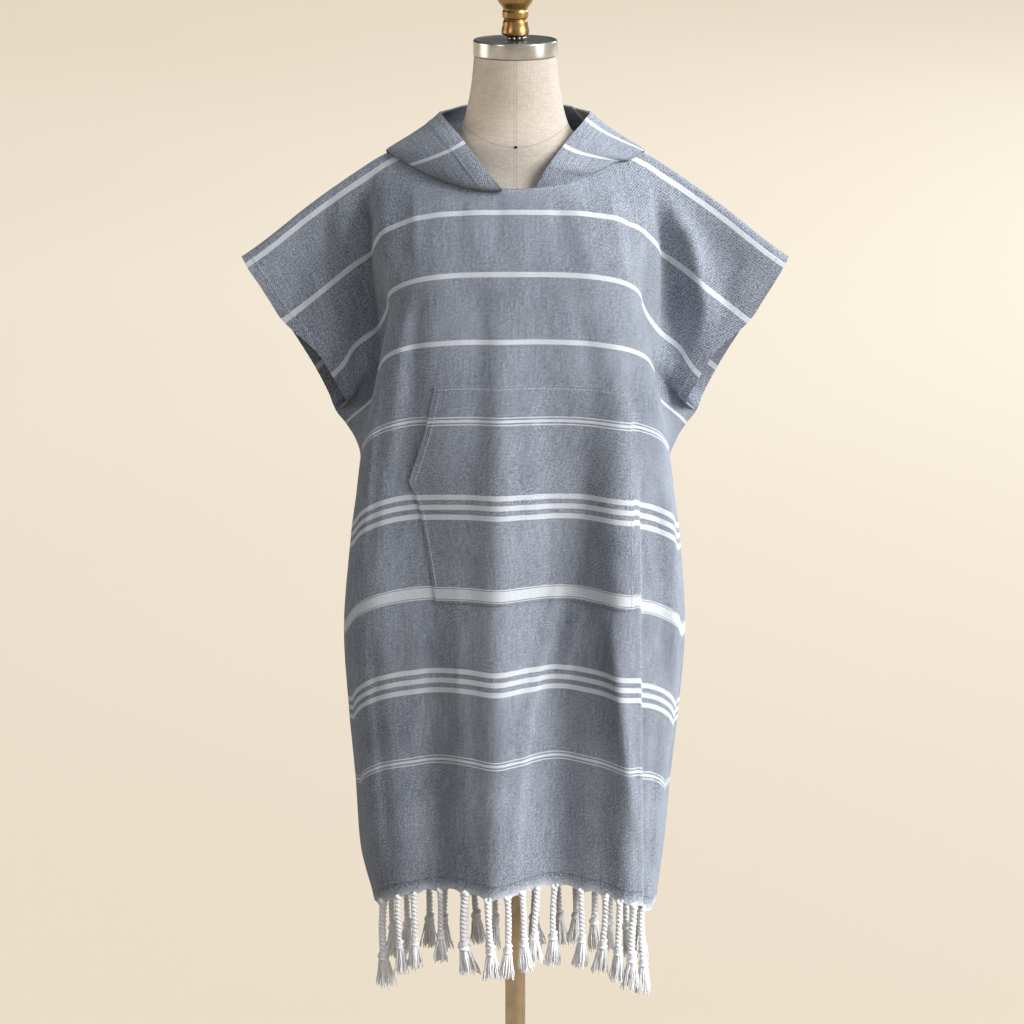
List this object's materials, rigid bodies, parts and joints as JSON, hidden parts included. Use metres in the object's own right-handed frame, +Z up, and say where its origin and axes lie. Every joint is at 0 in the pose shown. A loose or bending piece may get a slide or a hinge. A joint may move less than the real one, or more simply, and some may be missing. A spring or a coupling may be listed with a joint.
{
  "type": "hooded bath poncho on dress form",
  "caption": "Hooded bath poncho of striped flat-woven towelling with short sleeves, patch pocket and knotted fringe, hanging on a limbless linen dress form with a round base.",
  "frame": {"origin": "middle of the underside of the round base, where it stands on the floor", "axes": "+Z up along the pole, -Y the way the poncho and its pocket face, +X to the right as seen from the front"},
  "size_m": [0.678, 0.4, 1.5926],
  "materials": {
    "towelling": "blue-grey cotton with a fine diagonal weave and white woven stripes",
    "cotton_ends": "undyed twisted cotton, soft",
    "form_linen": "natural linen, tightly covered",
    "cap_steel": "brushed",
    "aged_brass": "aged, half polished",
    "dark_metal": "blackened, satin",
    "stand_bronze": "satin bronze tone"
  },
  "bodies": {
    "root": {"front_panel": "towelling", "back_panel": "towelling", "hood_left": "towelling", "hood_right": "towelling", "kangaroo_pocket": "towelling", "front_fringe": "cotton_ends", "back_fringe": "cotton_ends", "form_torso": "form_linen", "neck_cap": "cap_steel", "finial_collar": "dark_metal", "finial": "aged_brass", "form_plate": "dark_metal", "pole_socket": "stand_bronze", "pole": "stand_bronze", "base_hub": "stand_bronze", "base_plate": "stand_bronze"}
  },
  "joints": []
}
